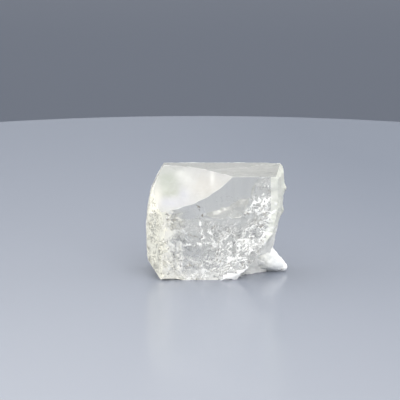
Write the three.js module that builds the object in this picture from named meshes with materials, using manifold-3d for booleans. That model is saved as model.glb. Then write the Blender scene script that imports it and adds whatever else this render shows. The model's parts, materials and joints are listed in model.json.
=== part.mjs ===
// A single topaz crystal, clear and nearly colourless, resting on its base.
//
// Topaz splits perfectly along one plane, so the top and the base are flat cleavages. Between them
// stand two prism faces of the grown crystal, the front and the left shoulder, and a third at the
// back. Everything else is broken: a shell-shaped (conchoidal) hollow takes off the upper left
// corner, and the two ends and the foot are rough. A short stump of white topaz grew through the
// lower right end, and is one solid with the crystal.
//
// Millimetres, +Z up, +X along the crystal, -Y towards the front face.

import * as THREE from 'three';
import { ImprovedNoise } from 'three/addons/math/ImprovedNoise.js';
import { mergeVertices } from 'three/addons/utils/BufferGeometryUtils.js';
import Module from 'manifold-3d';

// ---------------------------------------------------------------- driving dimensions

const HEIGHT = 19.25; // between the top and the base cleavage
const FRONT = -6.5; // the front prism face, along Y
const BACK = 7; // the back prism face, along Y
const SHOULDER_ANGLE = THREE.MathUtils.degToRad(55.7); // between topaz's two prism faces
const SHOULDER_WIDTH = 4.46; // of the left prism face, seen square on
const FRONT_LEFT = -10; // X of the edge between the front and the shoulder
const LEFT_END = -12.65; // the left break at its widest
const RIGHT_END = 12.3; // the right break, half way back
const SPARE = 1.4; // the rough block stands this far outside the ends
const GRAIN = 0.86; // size of the facets on the broken surfaces
const WEAVE = 0.5; // how far a facet's corner wanders, as a share of GRAIN
const CLEAR = 0.3; // a cutter with nothing to cut stays this far outside its face

// ---------------------------------------------------------------- small tools

const wasm = await Module();
wasm.setup();

const noise = new ImprovedNoise();
const { clamp, smoothstep } = THREE.MathUtils;

/** A closed three.js geometry as a solid that can be joined and cut. */
function solidFrom(geometry) {
  const bare = geometry.index ? geometry.clone() : geometry;
  bare.deleteAttribute('normal');
  bare.deleteAttribute('uv');
  const merged = mergeVertices(bare, 1e-4);
  return new wasm.Manifold(new wasm.Mesh({
    numProp: 3,
    vertProperties: new Float32Array(merged.attributes.position.array),
    triVerts: new Uint32Array(merged.index.array),
  }));
}

/** A joined or cut solid as a three.js geometry with flat facets. */
function geometryFrom(solid) {
  const mesh = solid.getMesh();
  const geometry = new THREE.BufferGeometry();
  geometry.setAttribute('position', new THREE.BufferAttribute(mesh.vertProperties, 3));
  geometry.setIndex(new THREE.BufferAttribute(mesh.triVerts, 1));
  return geometry;
}

/** Rough ground of several scales, about -1 to 1. Each seed is another stretch of it. */
function rubble(u, v, scale, seed) {
  const coarse = noise.noise(u / scale, v / scale, seed);
  const middle = noise.noise((2.1 * u) / scale, (2.1 * v) / scale, seed + 17.3);
  const fine = noise.noise((4.3 * u) / scale, (4.3 * v) / scale, seed + 31.7);
  return coarse + 0.5 * middle + 0.25 * fine;
}

/** The same ground broken into treads and risers, as where a cleavage runs out in steps. */
function terraces(u, v, scale, seed, tread) {
  const height = rubble(u, v, scale, seed);
  const level = Math.floor(height / tread);
  const rise = smoothstep(height / tread - level, 0.55, 0.95);
  return (level + rise) * tread;
}

/**
 * The block of empty space outside a broken face. Its inner side carries the face's relief, so
 * subtracting it leaves the break on the crystal.
 * at: a point of the face. outward: its direction. up: the face's own vertical.
 * relief(point, u, v): the face's height along outward over the flat, at a place in the model.
 */
function outsideOf({ at, outward, up, width, height, depth = 9, grain = GRAIN, relief }) {
  const along = new THREE.Vector3().crossVectors(up, outward).normalize();
  const rise = new THREE.Vector3().crossVectors(outward, along).normalize();
  const frame = new THREE.Matrix4().makeBasis(along, rise, outward).setPosition(at);
  const columns = Math.round(width / grain);
  const rows = Math.round(height / grain);
  const block = new THREE.BoxGeometry(width, height, depth, columns, rows, 1);
  block.translate(0, 0, depth / 2);
  const corners = block.attributes.position;
  const corner = new THREE.Vector3();
  for (let i = 0; i < corners.count; i += 1) {
    corner.fromBufferAttribute(corners, i);
    if (Math.abs(corner.z) > 1e-6) continue;
    const onRim = Math.abs(corner.x) > width / 2 - 1e-3 || Math.abs(corner.y) > height / 2 - 1e-3;
    const wander = onRim ? 0 : WEAVE * grain;
    const { x: u, y: v } = corner;
    corner.x += wander * noise.noise(1.37 * u, 1.71 * v, 3.3);
    corner.y += wander * noise.noise(1.53 * u, 1.29 * v, 8.8);
    const place = new THREE.Vector3(corner.x, corner.y, 0).applyMatrix4(frame);
    corner.z = relief(place, corner.x, corner.y);
    corners.setXYZ(i, corner.x, corner.y, corner.z);
  }
  return solidFrom(block.applyMatrix4(frame));
}

/** The empty space beyond the flat face through three points, on the side that outward is. */
function beyondFlat(a, b, c, outward) {
  const normal = new THREE.Plane().setFromCoplanarPoints(a, b, c).normal;
  if (normal.dot(outward) < 0) normal.negate();
  const at = a.clone().add(b).add(c).divideScalar(3);
  const up = b.clone().sub(a).normalize();
  return outsideOf({ at, outward: normal, up, width: 24, height: 24, grain: 24, relief: () => 0 });
}

const X = new THREE.Vector3(1, 0, 0);
const Y = new THREE.Vector3(0, 1, 0);
const Z = new THREE.Vector3(0, 0, 1);

// ---------------------------------------------------------------- the rough block

/** The prism between the two cleavages, with spare length where its ends are broken off. */
function roughBlock() {
  const shoulderLeft = FRONT_LEFT - SHOULDER_WIDTH * Math.cos(SHOULDER_ANGLE);
  const shoulderBack = FRONT + SHOULDER_WIDTH * Math.sin(SHOULDER_ANGLE);
  const spareLeft = shoulderLeft - SPARE;
  const spareBack = shoulderBack + SPARE * Math.tan(SHOULDER_ANGLE);
  const plan = new THREE.Shape([
    new THREE.Vector2(RIGHT_END + SPARE, FRONT),
    new THREE.Vector2(RIGHT_END + SPARE, BACK),
    new THREE.Vector2(spareLeft, BACK),
    new THREE.Vector2(spareLeft, spareBack),
    new THREE.Vector2(FRONT_LEFT, FRONT),
  ]);
  const block = new THREE.ExtrudeGeometry(plan, { depth: HEIGHT, bevelEnabled: false });
  return solidFrom(block);
}

// ---------------------------------------------------------------- the shell-shaped hollow

const HOLLOW_CENTRE = new THREE.Vector3(-12.28, -11.62, 34.02);
const HOLLOW_RADIUS = 22;
const HOLLOW_RIPPLE = 0.07; // height of the ripples that spread from where the blow fell
const HOLLOW_WAVE = 2.6; // from one ripple to the next
const HOLLOW_SWELL = 0.65; // the hollow is this much shallower along its upper right edge
const HOLLOW_START = new THREE.Vector3(3.3, FRONT, HEIGHT); // the blow fell at this corner

function hollow() {
  const middle = new THREE.Vector3(-6.2, -2.4, 16.6);
  const outward = HOLLOW_CENTRE.clone().sub(middle).normalize();
  return outsideOf({
    at: HOLLOW_CENTRE.clone().addScaledVector(outward, -HOLLOW_RADIUS),
    outward,
    up: Z,
    width: 27,
    height: 25,
    depth: 16,
    relief(place, u, v) {
      const bowl = HOLLOW_RADIUS - Math.sqrt(HOLLOW_RADIUS ** 2 - u * u - v * v);
      const reach = place.distanceTo(HOLLOW_START);
      const ripple = HOLLOW_RIPPLE * Math.cos((2 * Math.PI * reach) / HOLLOW_WAVE);
      const swell = HOLLOW_SWELL * Math.exp(-(((u - 5.2) / 3.2) ** 2)) * smoothstep(v, 0.5, 4.5);
      return bowl + swell + ripple * smoothstep(reach, 2, 6);
    },
  });
}

// ---------------------------------------------------------------- the left end

const RIDGE_X = -10.2; // where the hollow meets the left break
const RIDGE_LOW = new THREE.Vector2(-5.9, 12.8); // Y and Z of the ridge's lower end
const RIDGE_HIGH = new THREE.Vector2(3.5, 19.4); // and of its upper end
const LEFT_ROUGH = 0.34;
const LEFT_ROUND_FROM = 9; // Z where the left end starts to lean in
const LEFT_ROUND_RISE = 10.4;
const LEFT_LEAN = 3.2; // how far it has leaned in at the top

/** The broken left end: upright below, rounding over above, and cut back along the ridge. */
function leftBreak() {
  const slope = RIDGE_HIGH.clone().sub(RIDGE_LOW).normalize();
  return outsideOf({
    at: new THREE.Vector3(LEFT_END, 1, HEIGHT / 2),
    outward: X.clone().negate(),
    up: Z,
    width: 17,
    height: 22,
    relief(place) {
      const climb = clamp((place.z - LEFT_ROUND_FROM) / LEFT_ROUND_RISE, 0, 1.1);
      const lean = LEFT_LEAN * climb ** 2.6;
      const below = slope.x * (RIDGE_LOW.y - place.z) - slope.y * (RIDGE_LOW.x - place.y);
      const strip = clamp(RIDGE_X - LEFT_END - Math.max(0, below), 0, 3);
      const rough = terraces(place.y, place.z, 4.2, 2.4, 0.45);
      return -Math.max(lean, strip) + LEFT_ROUGH * (rough - 0.4);
    },
  });
}

/** The small flat bevel under the left end, through three of its corners. */
function heelBevel() {
  const foot = new THREE.Vector3(-9.7, -5.2, 0);
  const top = new THREE.Vector3(-12.5, -2.8, 3.3);
  const behind = new THREE.Vector3(-9.4, 3.4, 0);
  return beyondFlat(foot, top, behind, new THREE.Vector3(-1, 0, -1));
}

// ---------------------------------------------------------------- the right end

const UNDERCUT_FROM = 13.2; // Z below which the right end leans in
const UNDERCUT = 0.21; // and how far, for each millimetre down
const RIGHT_TURN = 0.16; // the right end faces a little to the front
const RIGHT_ROUGH = 0.22;
const KNOBS = [ // small knobs standing on the right end: Y, Z, height, radius
  [1.5, 15.6, 0.75, 0.95],
  [2.5, 11.0, 0.6, 0.8],
  [-3.6, 13.4, 0.35, 0.9],
];

function rightBreak() {
  return outsideOf({
    at: new THREE.Vector3(RIGHT_END, 0, HEIGHT / 2),
    outward: X,
    up: Z,
    width: 15,
    height: 22,
    relief(place) {
      const under = UNDERCUT * Math.max(0, UNDERCUT_FROM - place.z);
      const turn = RIGHT_TURN * clamp(place.y, FRONT - 1, BACK / 3);
      let height = turn - under;
      for (const [y, z, tall, radius] of KNOBS) {
        const away = Math.hypot(place.y - y, place.z - z) / radius;
        height += tall * Math.exp(-away * away);
      }
      const calm = smoothstep(place.z, HEIGHT - 1, HEIGHT - 5);
      const rough = terraces(place.y, place.z, 3.4, 7.9, 0.4);
      return height + RIGHT_ROUGH * rough * (0.25 + 0.75 * calm);
    },
  });
}

/** The narrow bevel between the top and the right end. */
function crestBevel() {
  const front = new THREE.Vector3(10.95, FRONT, HEIGHT);
  const back = new THREE.Vector3(12.2, BACK, HEIGHT);
  const below = new THREE.Vector3(12.7, BACK, HEIGHT - 0.55);
  return beyondFlat(front, back, below, new THREE.Vector3(1, 0, 1));
}

const FOOT_FRONT = new THREE.Vector3(4.2, FRONT, 0); // the broken corner's foot, at the front
const FOOT_END = new THREE.Vector3(10.3, 1.1, 0); // at the right end
const FOOT_TOP = new THREE.Vector3(11.2, FRONT, 9); // and its top, on the front right edge
const FOOT_ROUGH = 0.5;
const FOOT_BOWL = 1.5; // the break is hollowed this deep, nearest its front end

/** The hackly break that takes off the lower right corner of the front. */
function footBreak() {
  const along = FOOT_END.clone().sub(FOOT_FRONT);
  const rise = FOOT_TOP.clone().sub(FOOT_FRONT);
  const outward = new THREE.Vector3().crossVectors(along, rise).normalize();
  const middle = FOOT_FRONT.clone().add(FOOT_END).add(FOOT_TOP).divideScalar(3);
  return outsideOf({
    at: middle,
    outward,
    up: Z,
    width: 21,
    height: 17,
    relief(place, u, v) {
      const bowl = FOOT_BOWL * Math.exp(-(((place.y + 3.2) / 2.6) ** 2));
      return FOOT_ROUGH * terraces(u, v, 3.1, 12.6, 0.35) - bowl;
    },
  });
}

/** The bright flat facet where the front's foot chipped away, beside the broken corner. */
function chipFacet() {
  const left = new THREE.Vector3(0.6, FRONT, 0);
  const top = new THREE.Vector3(5.0, FRONT, 2.1);
  const behind = new THREE.Vector3(4.4, FRONT + 1, 0);
  return beyondFlat(left, top, behind, new THREE.Vector3(0, -1, -1));
}

// ---------------------------------------------------------------- front, back and base

const FRONT_BITE = 0.14; // least depth of the etched part of the front
const FRONT_FADE = 4.5; // it is shallower within this distance of the part that stayed smooth
const BACK_BITE = 0.25; // and of the hackly part of the back

/** How far a point of the front face lies inside its etched lower part, in millimetres. */
function intoFrontEtch(x, z) {
  const window = Math.hypot((x - 1.6) / 1.25, (z - 16.4) * 1.02) - 4.1;
  const right = 0.62 * (x - 7.4) + 0.3 * (17.6 - z);
  return Math.min(Math.max(window, right), 18.2 - z, x + 9.2);
}

function frontEtch() {
  return outsideOf({
    at: new THREE.Vector3(0, FRONT, HEIGHT / 2),
    outward: Y.clone().negate(),
    up: Z,
    width: 27,
    height: 22,
    relief(place) {
      const inside = intoFrontEtch(place.x, place.z);
      const into = Math.min(inside, 1.1) + 1.6 * rubble(place.x, place.z, 3.4, 44.1);
      const rough = 0.5 + 0.5 * rubble(place.x, place.z, 2.2, 21.5);
      const deeper = 0.25 + 0.75 * smoothstep(inside, 0, FRONT_FADE);
      const depth = (FRONT_BITE + 0.44 * clamp(rough, 0, 1)) * deeper;
      return CLEAR - (CLEAR + depth) * smoothstep(into, -0.5, 0.9);
    },
  });
}

/** How far a point of the back face lies inside its hackly part, in millimetres. */
function intoBackHackle(x, z) {
  const below = 11.6 + 1.5 * Math.sin(0.31 * x) - z;
  const right = 0.8 * (x - 8.4) + 0.35 * (17.5 - z);
  return Math.min(Math.max(below, right), z - 0.9);
}

function backHackle() {
  return outsideOf({
    at: new THREE.Vector3(0, BACK, HEIGHT / 2),
    outward: Y,
    up: Z,
    width: 27,
    height: 22,
    relief(place) {
      const ragged = 1.3 * rubble(place.x, place.z, 4.1, 61.7);
      const into = intoBackHackle(place.x, place.z) + ragged;
      const rough = 0.5 + 0.5 * terraces(place.x, place.z, 3.6, 33.3, 0.3);
      const depth = BACK_BITE + 0.95 * clamp(rough, 0, 1);
      return CLEAR - (CLEAR + depth) * smoothstep(into, -0.5, 1.1);
    },
  });
}

/** The cleavage steps in the base: the crystal rests on the flat that is left between them. */
function baseSteps() {
  return outsideOf({
    at: new THREE.Vector3(0, 0, 0),
    outward: Z.clone().negate(),
    up: Y,
    width: 28,
    height: 15,
    relief(place) {
      const height = rubble(place.x, place.y, 7.5, 52.2);
      const step = clamp(Math.floor((height - 0.02) / 0.22) + 1, 0, 3);
      return step === 0 ? CLEAR : -0.16 * step - 0.05;
    },
  });
}

// ---------------------------------------------------------------- the white stump

const STUMP_ROOT = new THREE.Vector3(7.9, 0.9, 3.3); // its axis starts inside the crystal
const STUMP_TIP = new THREE.Vector3(12.72, 0.6, 0.8); // centre of its rounded tip
const STUMP_PROFILE = [ // share of the way from root to tip, and radius
  [0, 2.6],
  [0.24, 2.4],
  [0.467, 2.05],
  [0.65, 1.66],
  [0.816, 1.25],
  [0.945, 0.86],
];
const STUMP_TIP_RADIUS = 0.68;
const STUMP_SIDES = 28;

/** The short white stump that grew out through the lower right end, a blunt lumpy cone. */
function stump() {
  const axis = STUMP_TIP.clone().sub(STUMP_ROOT);
  const length = axis.length();
  const outline = [new THREE.Vector2(0, -0.8)];
  for (const [share, radius] of STUMP_PROFILE) {
    outline.push(new THREE.Vector2(radius, share * length));
  }
  for (let turn = 10; turn <= 90; turn += 16) {
    const angle = THREE.MathUtils.degToRad(turn);
    const radius = STUMP_TIP_RADIUS * Math.cos(angle);
    outline.push(new THREE.Vector2(turn === 90 ? 0 : radius, length + STUMP_TIP_RADIUS * Math.sin(angle)));
  }
  const cone = new THREE.LatheGeometry(outline, STUMP_SIDES);
  const points = cone.attributes.position;
  for (let i = 0; i < points.count; i += 1) {
    const [x, y, z] = [points.getX(i), points.getY(i), points.getZ(i)];
    const swell = 1 + 0.13 * noise.noise(0.8 * x + 5, 0.7 * y, 0.8 * z);
    points.setXYZ(i, x * swell, y, z * swell);
  }
  const lean = new THREE.Quaternion().setFromUnitVectors(Y, axis.clone().normalize());
  cone.applyQuaternion(lean).translate(STUMP_ROOT.x, STUMP_ROOT.y, STUMP_ROOT.z);
  return solidFrom(cone);
}

// ---------------------------------------------------------------- the crystal

function crystal() {
  const breaks = [hollow(), leftBreak(), rightBreak(), footBreak(), frontEtch(), backHackle(), baseSteps()];
  const flats = [heelBevel(), crestBevel(), chipFacet()];
  let solid = roughBlock();
  for (const space of [...breaks, ...flats]) solid = solid.subtract(space);
  return solid.add(stump());
}

const clearTopaz = new THREE.MeshStandardMaterial({
  color: 0xe9e7dc,
  roughness: 0.12,
  metalness: 0,
  flatShading: true,
});

const shape = geometryFrom(crystal());
shape.computeBoundingBox();
const { min, max } = shape.boundingBox;
shape.translate(-(min.x + max.x) / 2, -(min.y + max.y) / 2, -min.z);
shape.computeVertexNormals();

const topaz = new THREE.Mesh(shape, clearTopaz);
topaz.name = 'topaz_crystal';

const specimen = new THREE.Group();
specimen.add(topaz);

export default specimen;
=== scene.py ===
# %% [markdown]
# # A clear topaz crystal
#
# A loose crystal of topaz is a block of clear stone whose skin tells how each side came to be.
# Cleavages are mirror flat, grown prism faces are flat with faint upright lines, a shell-shaped
# break is satin, and hackly breaks glitter. This lesson dresses the plain block from the frame in
# those skins, seals the healed cracks of the real stone inside it, and lights it softly.

import json
import math

import bmesh
import bpy
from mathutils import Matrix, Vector, noise
from mathutils.kdtree import KDTree

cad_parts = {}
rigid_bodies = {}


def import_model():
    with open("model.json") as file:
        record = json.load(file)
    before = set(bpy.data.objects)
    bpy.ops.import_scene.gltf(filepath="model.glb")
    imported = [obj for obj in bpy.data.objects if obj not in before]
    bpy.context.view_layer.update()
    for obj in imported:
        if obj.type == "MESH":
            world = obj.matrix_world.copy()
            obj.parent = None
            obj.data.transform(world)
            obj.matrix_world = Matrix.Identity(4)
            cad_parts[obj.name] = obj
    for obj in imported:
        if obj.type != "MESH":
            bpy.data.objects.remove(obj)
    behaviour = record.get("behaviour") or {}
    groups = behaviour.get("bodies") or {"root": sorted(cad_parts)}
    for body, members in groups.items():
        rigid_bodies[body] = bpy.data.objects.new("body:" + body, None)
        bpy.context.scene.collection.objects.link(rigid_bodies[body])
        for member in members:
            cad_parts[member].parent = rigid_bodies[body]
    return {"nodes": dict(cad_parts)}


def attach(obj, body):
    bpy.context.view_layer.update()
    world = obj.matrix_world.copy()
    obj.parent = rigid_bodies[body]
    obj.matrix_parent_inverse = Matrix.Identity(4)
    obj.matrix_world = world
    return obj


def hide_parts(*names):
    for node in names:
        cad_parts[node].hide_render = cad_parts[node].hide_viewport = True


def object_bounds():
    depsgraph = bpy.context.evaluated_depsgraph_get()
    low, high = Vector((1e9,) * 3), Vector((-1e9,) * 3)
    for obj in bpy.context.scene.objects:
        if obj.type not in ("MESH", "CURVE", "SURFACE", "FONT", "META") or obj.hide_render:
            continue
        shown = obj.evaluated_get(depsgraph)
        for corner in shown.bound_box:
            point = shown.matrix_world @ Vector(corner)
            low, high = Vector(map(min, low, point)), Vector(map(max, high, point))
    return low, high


MM = 0.001
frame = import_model()
cad_low, cad_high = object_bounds()
size = cad_high - cad_low
print("crystal, mm:", [round(side / MM, 2) for side in size])

# %% [markdown]
# ## Where the camera stands
#
# A stone this small is looked at through a long lens from a little above. The view's width at the
# crystal sets the lens, so the crystal keeps its share of the picture. The camera comes first
# because everything after it is judged through it.

# %% Camera
CAMERA_RISE = math.radians(12)
CAMERA_DISTANCE = 400 * MM
VIEW_WIDTH = 73.5 * MM
AIM_SHARE = Vector((-0.12, -0.02, 0.708))  # of the crystal's size, from the middle of its base

aim = AIM_SHARE * size
towards_camera = Vector((0, -math.cos(CAMERA_RISE), math.sin(CAMERA_RISE)))
camera = bpy.data.objects.new("camera", bpy.data.cameras.new("camera"))
camera.data.lens = camera.data.sensor_width * CAMERA_DISTANCE / VIEW_WIDTH
camera.location = aim + towards_camera * CAMERA_DISTANCE
camera.rotation_euler = (-towards_camera).to_track_quat("-Z", "Y").to_euler()
bpy.context.scene.collection.objects.link(camera)
bpy.context.scene.camera = camera
print("lens, mm:", round(camera.data.lens, 1))

# %% [markdown]
# ## Helpers for node trees
#
# Every skin and every repeated shape below is a node tree. A few small helpers keep them short: one
# adds a node, three do arithmetic with numbers and with vectors, and one opens a group with named
# sockets. Geometry trees and shader trees share most of these nodes, so the same helper serves both.

# %% Node helpers
def feed(tree, socket, value):
    """Links a socket to another socket, or sets its value."""
    if isinstance(value, bpy.types.NodeSocket):
        tree.links.new(value, socket)
    else:
        socket.default_value = value


def put(tree, kind, inputs=None, **settings):
    """A new node with its settings, and its inputs given as values or as sockets to link."""
    made = tree.nodes.new(kind)
    for name, value in settings.items():
        setattr(made, name, value)
    for name, value in (inputs or {}).items():
        feed(tree, made.inputs[name], value)
    return made


def sums(tree, operation, *values, clamp=False):
    """The result of a Math node."""
    made = put(tree, "ShaderNodeMath", operation=operation, use_clamp=clamp)
    for socket, value in zip(made.inputs, values):
        feed(tree, socket, value)
    return made.outputs[0]


def times(tree, first, *others):
    """The product of some numbers."""
    for other in others:
        first = sums(tree, "MULTIPLY", first, other)
    return first


def vectors(tree, operation, *values):
    """The vector, or for a dot product or a length the number, from a Vector Math node."""
    made = put(tree, "ShaderNodeVectorMath", operation=operation)
    sockets = [socket for socket in made.inputs if socket.enabled]
    for socket, value in zip(sockets, values):
        feed(tree, socket, value)
    return next(socket for socket in made.outputs if socket.enabled)


def part(tree, place, axis):
    """One coordinate of a place."""
    return put(tree, "ShaderNodeSeparateXYZ", {"Vector": place}).outputs[axis]


def fade(tree, value, start, end, low=0.0, high=1.0):
    """A value taken smoothly from low at start to high at end."""
    made = put(tree, "ShaderNodeMapRange", interpolation_type="SMOOTHSTEP")
    names = ("Value", "From Min", "From Max", "To Min", "To Max")
    for name, number in zip(names, (value, start, end, low, high)):
        feed(tree, made.inputs[name], number)
    return made.outputs[0]


def socket_type(default):
    """The type of a group's socket, from its default value, or from its name if it has none."""
    if isinstance(default, str):
        return "NodeSocket" + default
    if isinstance(default, tuple):
        return "NodeSocketVector" if len(default) == 3 else "NodeSocketColor"
    return "NodeSocketInt" if isinstance(default, int) else "NodeSocketFloat"


def open_group(name, kind, inputs, outputs):
    """A node group with named sockets, and what it is given and what it gives back."""
    tree = bpy.data.node_groups.new(name, kind)
    for in_out, sockets in (("INPUT", inputs), ("OUTPUT", outputs)):
        for socket_name, default in sockets.items():
            socket = tree.interface.new_socket(socket_name, in_out=in_out, socket_type=socket_type(default))
            if not isinstance(default, str):
                socket.default_value = default
    return tree, tree.nodes.new("NodeGroupInput").outputs, tree.nodes.new("NodeGroupOutput").inputs


# %% [markdown]
# ## Facets and strokes
#
# A hackly break is a mosaic of small flat facets, each leaning its own way. A Voronoi texture gives
# the mosaic: every cell has a centre and a random colour. Read as a direction, the colour is the
# way that the cell leans, so its height is the distance from the centre along that direction.
#
# A break also runs outwards from the place where it began, and leaves strokes that point back to
# it. Turning a place into how far round and how far out it is from that point, and squeezing the
# second, stretches any texture into such strokes. The same two rules shape the mesh and the finer
# bump, so they are functions that work in every kind of tree.

# %% Facet and stroke rules
BREAK_START = Vector((-5.0, 0, -1.8)) * MM  # the front break ran outwards from here
STROKE_REACH = 10 * MM  # strokes have their own width this far out
STROKE_STRETCH = 3.0  # how many times longer than wide
FROM_FRONT = (1, 0, 1)  # keeps the parts of a place that show from the front


def facet_height(tree, place, width, lean):
    """Height over a break of facets of a width, leaning by up to a slope."""
    cells = put(tree, "ShaderNodeTexVoronoi", {"Vector": place, "Randomness": 1.0})
    feed(tree, cells.inputs["Scale"], sums(tree, "DIVIDE", 1.0, width))
    slope = vectors(tree, "SUBTRACT", cells.outputs["Color"], (0.5, 0.5, 0.5))
    across = vectors(tree, "SUBTRACT", place, cells.outputs["Position"])
    rise = vectors(tree, "DOT_PRODUCT", slope, across)
    return times(tree, rise, times(tree, lean, 2.0))


def run_outwards(tree, place):
    """A place as how far round, how far back and how far out it is from the break's start."""
    away = vectors(tree, "SUBTRACT", place, tuple(BREAK_START))
    parts = put(tree, "ShaderNodeSeparateXYZ", {"Vector": away}).outputs
    turn = sums(tree, "ARCTAN2", parts["Z"], parts["X"])
    out = vectors(tree, "LENGTH", vectors(tree, "MULTIPLY", away, FROM_FRONT))
    stretched = put(tree, "ShaderNodeCombineXYZ", {"Y": parts["Y"]})
    feed(tree, stretched.inputs["X"], times(tree, turn, STROKE_REACH))
    feed(tree, stretched.inputs["Z"], sums(tree, "DIVIDE", out, STROKE_STRETCH))
    return stretched.outputs[0]


def cloud(tree, place, width, detail=2.0):
    """Soft random values around 0.5 over patches of a width."""
    made = put(tree, "ShaderNodeTexNoise", {"Vector": place, "Detail": detail})
    feed(tree, made.inputs["Scale"], sums(tree, "DIVIDE", 1.0, width))
    return made.outputs["Fac"]


def patches(tree, place, width, *edges):
    """Soft patches of a width: noise taken smoothly between two values, from a low to a high."""
    return fade(tree, cloud(tree, place, width), *edges)


def wandering(tree, place, width, reach, detail=1.0):
    """A place moved about by noise of a width, by up to about a quarter of a reach."""
    made = put(tree, "ShaderNodeTexNoise", {"Vector": place, "Scale": 1 / width, "Detail": detail})
    way = vectors(tree, "SUBTRACT", made.outputs["Color"], (0.5, 0.5, 0.5))
    return vectors(tree, "ADD", place, vectors(tree, "SCALE", way, reach))


# %% [markdown]
# ## Which faces are flat, and which are broken
#
# The frame's block is one solid of loose triangles. A copy is merged, and its triangles are sorted by
# the plane they lie on. A plane with a few square millimetres of triangles is a cleavage, a grown
# face or a clean chip, and has to stay perfectly flat. The shell-shaped hollow is part of a sphere.
# All else is broken. Each corner keeps two numbers, one for the breaks and one for the hollow,
# that are 1 only where all its faces are of that kind, so later relief fades out before it reaches
# a crisp edge. Two straight cuts in the front let the smooth window end on a clean line.

# %% Where each kind lies
KINDS = ("Hackly", "Milky", "Clear", "Satin", "Etched", "Frosted", "Chip", "Creamy", "Basal")
HACKLY, MILKY, CLEAR, SATIN, ETCHED, FROSTED, CHIP, CREAMY, BASAL = range(len(KINDS))
LEAST_FLAT = 2.9 * MM**2  # a plane with less than this is part of a break
FACING = 0.9  # a face looks along a direction if their cosine is more than this
FRONTAL = 0.99  # and straight along it from this on
HOLLOW_CENTRE = Vector((-12.66, -11.87, 34.02)) * MM
HOLLOW_RADIUS = 22 * MM
HOLLOW_SLACK = 1.0 * MM  # its faces lie this close to the sphere
LEFT_FACING = 0.3  # flats that look left more than this are the worn end
RIGHT_FACING = 0.5  # and those that look right more than this belong to the right end
RIGHT_END = 11.92 * MM  # X of the right end, half way back
RIGHT_TURN = 0.16  # how much further right it is for each step back
RIGHT_SLACK = 1.2 * MM
UNDERCUT_FROM = 13.2 * MM  # below this height it draws in
UNDERCUT = 0.21  # by this much for each step down
CHIP_FACING = Vector((0.225, -0.853, -0.470)).normalized()
CHIP_CORNER = Vector((4.62, -6.75, 2.1)) * MM
CHIP_SLACK = 0.3 * MM
CHIP_TURN = 0.6  # the least cosine between a face of the chip and the way the chip looks
WINDOW_LEFT = -5.0 * MM  # the front's smooth window lies right of here
WINDOW_RIGHT = Vector((7.4, 0, 19.2)) * MM  # and left of a slanting line through here
WINDOW_SLANT = Vector((4.2, 0, -1.6)).normalized()
STRIP_THROUGH = Vector((RIGHT_END - RIGHT_SLACK, 0, 0))  # the right end's strip begins here
STRIP_FACING = Vector((1, -RIGHT_TURN, 0)).normalized()
STUMP_ROOT = Vector((cad_high.x - 5.5 * MM, 0.65 * MM, 3.3 * MM))
STUMP_TIP = Vector((cad_high.x - 0.69 * MM, 0.35 * MM, 0.8 * MM))
STUMP_AXIS = STUMP_TIP - STUMP_ROOT
STUMP_WIDEST = 2.6 * MM
STUMP_TAPER = 0.74  # the share of its radius that it has lost at the tip
STUMP_CURVE = 1.6  # the higher, the later it loses it
STUMP_BARE = 0.2  # the share of the stump's length from which it stands outside the body
STUMP_SLACK = 1.06  # its own surface lies within this many radii of the axis
SAME_PLACE = 1e-6  # corners this close are one

loose = bmesh.new()
loose.from_mesh(frame["nodes"]["topaz_crystal"].data)
bmesh.ops.remove_doubles(loose, verts=loose.verts, dist=SAME_PLACE)
for through, facing in ((WINDOW_RIGHT, WINDOW_SLANT), (STRIP_THROUGH, STRIP_FACING)):
    everything = loose.verts[:] + loose.edges[:] + loose.faces[:]
    bmesh.ops.bisect_plane(loose, geom=everything, plane_co=through, plane_no=facing)
skin = loose.faces.layers.int.new("skin")
even = loose.faces.layers.int.new("even")
broken = loose.verts.layers.float.new("broken")
hollow = loose.verts.layers.float.new("hollow")
lace = loose.verts.layers.float.new("lace")
# the tint layer also carries the hollow's painted highlights and painted shade
tint_and_painted_light = loose.verts.layers.float_color.new("tint")
print("loose triangles:", len(loose.faces))

# %% [markdown]
# ## Telling the kinds apart
#
# Each kind has a test of its own: near one sphere for the hollow, close to one axis for the stump,
# beyond one plane for the right end. They overlap where the parts meet, so their order matters,
# and what passes none of them is hackly.

# %% Sort the faces
def plane_of(face):
    """The face's plane, rounded so that triangles of one flat agree."""
    offset = face.normal.dot(face.calc_center_median()) / MM
    return tuple(round(along, 2) for along in face.normal) + (round(offset, 1),)


def in_hollow(place, normal):
    """True in the shell-shaped hollow, which follows the inside of a sphere."""
    to_centre = HOLLOW_CENTRE - place
    near = abs(to_centre.length - HOLLOW_RADIUS) < HOLLOW_SLACK
    return near and normal.dot(to_centre.normalized()) > FACING


def stump_radius(share):
    """The stump's radius at a share of the way from its root to its tip."""
    return STUMP_WIDEST * (1 - STUMP_TAPER * share**STUMP_CURVE)


def from_stump(place):
    """How far along the stump's axis a place is, as a share of it, and how far off the axis."""
    share = (place - STUMP_ROOT).dot(STUMP_AXIS) / STUMP_AXIS.length_squared
    return share, (place - STUMP_ROOT - STUMP_AXIS * share).length


def on_stump(place):
    """True on the white stump's own surface."""
    share, away = from_stump(place)
    return share > STUMP_BARE and away < stump_radius(min(share, 1)) * STUMP_SLACK


def on_right_end(place):
    """True on the break at the right end."""
    end = RIGHT_END + RIGHT_TURN * place.y - UNDERCUT * max(0, UNDERCUT_FROM - place.z)
    return place.x > end - RIGHT_SLACK


def on_chip(place, normal):
    """True on the clean chip at the foot of the front."""
    off = abs((place - CHIP_CORNER).dot(CHIP_FACING))
    return off < CHIP_SLACK and normal.dot(CHIP_FACING) > CHIP_TURN and place.x > 0 and place.z > 0


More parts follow.
